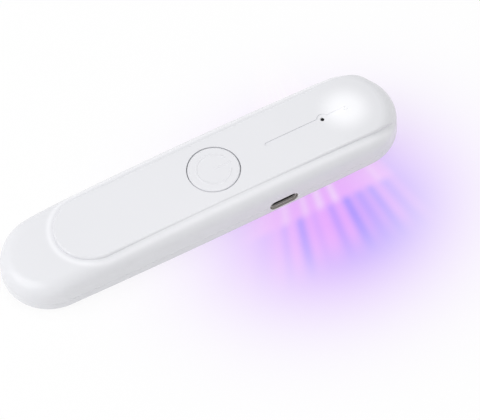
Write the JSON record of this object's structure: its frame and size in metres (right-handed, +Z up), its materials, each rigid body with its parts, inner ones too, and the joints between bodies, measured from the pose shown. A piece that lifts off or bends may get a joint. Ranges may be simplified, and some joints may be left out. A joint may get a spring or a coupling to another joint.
{
  "type": "uv steriliser wand",
  "caption": "Slim handheld ultraviolet steriliser wand with a raised top panel, round power button, status light, charging port and lamps behind a window underneath.",
  "frame": {"origin": "on the flat underside, under the middle of the wand's length and width", "axes": "+X along the wand to the lamp head, +Z up out of the panel with the button, so the charging port faces -Y"},
  "size_m": [0.13, 0.0304, 0.0129],
  "materials": {
    "white_shell": "gloss white moulded shell",
    "white_button": "gloss white cap",
    "switch_body": "black moulded switch",
    "switch_metal": "stamped steel",
    "board": "green solder resist",
    "port_metal": "drawn steel",
    "port_tongue": "black insulator",
    "contacts": "gold-plated",
    "chips": "moulded package",
    "capacitors": "ceramic",
    "board_lamps": "clear resin",
    "status_light": "clear rod, lit",
    "charge_light": "smoked rod, dark when off",
    "battery_foil": "foil pouch",
    "foam": "closed-cell foam",
    "wires": "insulated wire",
    "lamp_board": "white metal-core board",
    "lamp_bases": "ceramic",
    "uv_lamps": "violet lamp, lit",
    "reflector": "bright metallised tray",
    "window": "clear window",
    "screws": "plated steel"
  },
  "bodies": {
    "wand": {"upper_shell": "white_shell", "lower_shell": "white_shell", "switch_base": "switch_body", "switch_cover": "switch_metal", "switch_dome": "switch_metal", "main_board": "board", "battery_guard_board": "board", "usb_shell": "port_metal", "usb_tongue": "port_tongue", "header_block": "port_tongue", "usb_contacts": "contacts", "header_pins": "contacts", "control_chip": "chips", "charge_chip": "chips", "board_capacitors": "capacitors", "status_led": "board_lamps", "charge_led": "board_lamps", "light_pipe": "status_light", "charge_pipe": "charge_light", "battery_cell": "battery_foil", "battery_pad": "foam", "pressure_pads": "foam", "window_seal": "foam", "battery_leads": "wires", "led_board": "lamp_board", "uv_led_bases": "lamp_bases", "uv_led_lenses": "uv_lamps", "reflector": "reflector", "uv_window": "window", "case_screws": "screws", "board_screws": "screws"},
    "button": {"power_button": "white_button"},
    "plunger": {"switch_plunger": "switch_body"}
  },
  "joints": [
    {"name": "button_press", "type": "slide", "parent": "wand", "child": "button", "axis": [0, 0, -1], "range_m": [0, 0.0003], "stiffness_N_per_m": 1500},
    {"name": "plunger_press", "type": "slide", "parent": "wand", "child": "plunger", "axis": [0, 0, -1], "range_m": [0, 0.0003], "deforming": ["switch_dome"]}
  ],
  "couplings": [
    {"joint": "plunger_press", "follows": "button_press", "ratio": 1}
  ]
}
